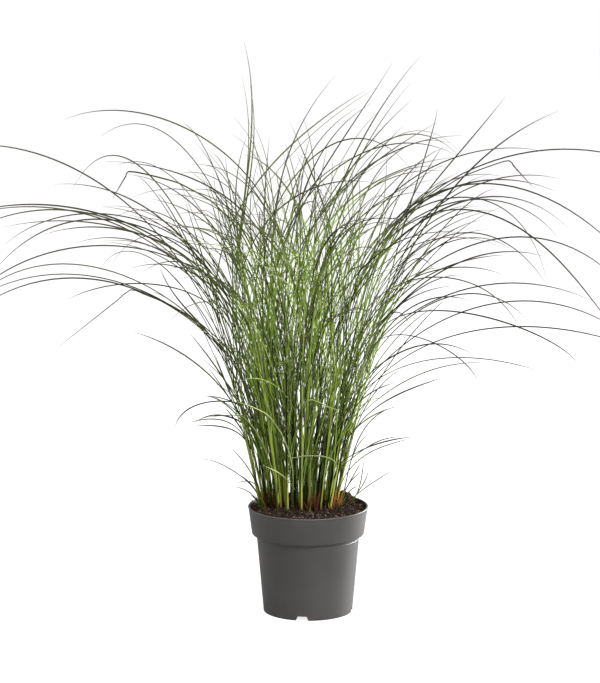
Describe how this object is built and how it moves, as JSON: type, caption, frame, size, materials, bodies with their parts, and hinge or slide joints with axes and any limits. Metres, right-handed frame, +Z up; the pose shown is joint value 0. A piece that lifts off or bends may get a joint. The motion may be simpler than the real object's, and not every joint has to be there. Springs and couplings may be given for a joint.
{
  "type": "potted gracillimus maiden grass",
  "caption": "Clump of fine arching ornamental grass growing in a round tapered plastic nursery pot filled with potting soil.",
  "frame": {"origin": "middle of the pot's foot ring, on the ground", "axes": "+Z up along the pot's axis, +X to the right as seen from the front, -Y towards the viewer"},
  "size_m": [1.18, 1.12, 0.9051],
  "materials": {
    "pot_plastic": "satin dark grey moulded plastic with faint turning marks",
    "potting_soil": "crumbly dark brown peat soil with fibres and pale grains",
    "grass": "fresh green grass, lighter along the midrib, grey green on long blades and straw at the tips",
    "dry_sheath": "dry orange brown papery sheath"
  },
  "bodies": {
    "root": {"pot": "pot_plastic", "soil": "potting_soil", "tiller_01": "grass", "tiller_02": "grass", "tiller_03": "grass", "tiller_04": "grass", "tiller_05": "grass", "tiller_06": "grass", "tiller_07": "grass", "tiller_08": "grass", "tiller_09": "grass", "tiller_10": "grass", "tiller_11": "grass", "tiller_12": "grass", "tiller_13": "grass", "tiller_14": "grass", "tiller_15": "grass", "tiller_16": "grass", "tiller_17": "grass", "tiller_18": "grass", "tiller_19": "grass", "tiller_20": "grass", "tiller_21": "grass", "tiller_22": "grass", "tiller_23": "grass", "tiller_24": "grass", "tiller_25": "grass", "tiller_26": "grass", "tiller_27": "grass", "tiller_28": "grass", "tiller_29": "grass", "tiller_30": "grass", "tiller_31": "grass", "tiller_32": "grass", "tiller_33": "grass", "tiller_34": "grass", "tiller_35": "grass", "tiller_36": "grass", "tiller_37": "grass", "tiller_38": "grass", "tiller_39": "grass", "tiller_40": "grass", "tiller_41": "grass", "tiller_42": "grass", "tiller_43": "grass", "tiller_44": "grass", "old_shoot_1": "dry_sheath", "old_shoot_2": "dry_sheath", "old_shoot_3": "dry_sheath", "old_shoot_4": "dry_sheath", "old_shoot_5": "dry_sheath", "old_shoot_6": "dry_sheath", "old_shoot_7": "dry_sheath", "old_shoot_8": "dry_sheath"}
  },
  "joints": []
}
